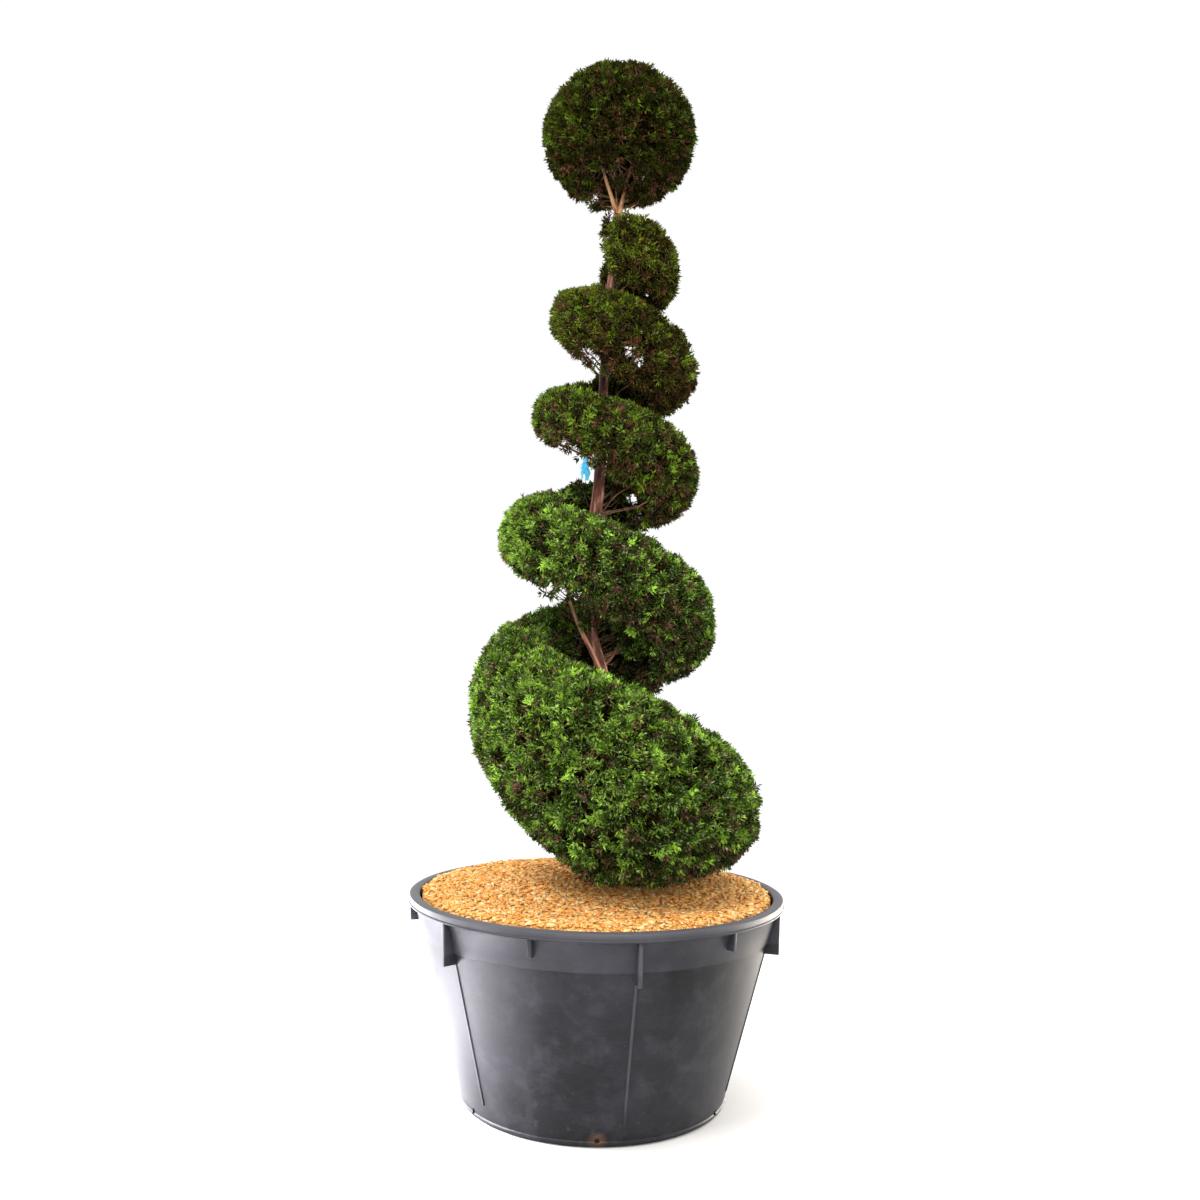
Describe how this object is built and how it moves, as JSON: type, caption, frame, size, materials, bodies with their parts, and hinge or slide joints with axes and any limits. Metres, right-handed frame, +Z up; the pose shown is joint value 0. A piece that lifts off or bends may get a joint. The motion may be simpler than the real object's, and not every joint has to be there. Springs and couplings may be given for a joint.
{
  "type": "spiral topiary in a nursery tub",
  "caption": "Clipped yew trained as a rising spiral with a ball on top, growing in a large round plastic nursery tub mulched with wood chips.",
  "frame": {"origin": "centre of the tub's flat underside", "axes": "+Z up along the plant, -Y towards the viewer, +X to the viewer's right"},
  "size_m": [1.22, 1.22, 3.4707],
  "materials": {
    "tub_plastic": "satin",
    "soil": "matte",
    "wood_chips": "matte",
    "bark": "matte",
    "foliage_low": "matte",
    "foliage_high": "matte",
    "tape": "satin"
  },
  "bodies": {
    "root": {"tub": "tub_plastic", "soil": "soil", "trunk": "bark", "wood_chips": "wood_chips", "turn_1_foot": "foliage_low", "turn_1_right": "foliage_low", "turn_1_front": "foliage_low", "turn_1_left": "foliage_low", "turn_1_behind": "foliage_low", "turn_2_right": "foliage_low", "turn_2_front": "foliage_low", "turn_2_left": "foliage_low", "turn_2_behind": "foliage_low", "turn_3_right": "foliage_high", "turn_3_front": "foliage_high", "turn_3_left": "foliage_high", "turn_3_behind": "foliage_high", "turn_4_right": "foliage_high", "turn_4_front": "foliage_high", "turn_4_left": "foliage_high", "turn_4_behind": "foliage_high", "turn_5_right": "foliage_high", "turn_5_front": "foliage_high", "ball": "foliage_high", "second_stem": "bark", "bough_turn_1_foot": "bark", "bough_turn_1_right": "bark", "bough_turn_1_front": "bark", "bough_turn_1_left": "bark", "bough_turn_1_behind": "bark", "bough_turn_2_right": "bark", "bough_turn_2_front": "bark", "bough_turn_2_left": "bark", "bough_turn_2_behind": "bark", "bough_turn_3_right": "bark", "bough_turn_3_front": "bark", "bough_turn_3_left": "bark", "bough_turn_3_behind": "bark", "bough_turn_4_right": "bark", "bough_turn_4_front": "bark", "bough_turn_4_left": "bark", "bough_turn_4_behind": "bark", "bough_turn_5_right": "bark", "bough_turn_5_front": "bark", "bough_ball_left": "bark", "bough_ball_right": "bark", "bough_ball_outer_left": "bark", "bough_ball_outer_right": "bark", "bough_ball_front": "bark", "bough_ball_behind": "bark", "marker_tape": "tape"}
  },
  "joints": []
}
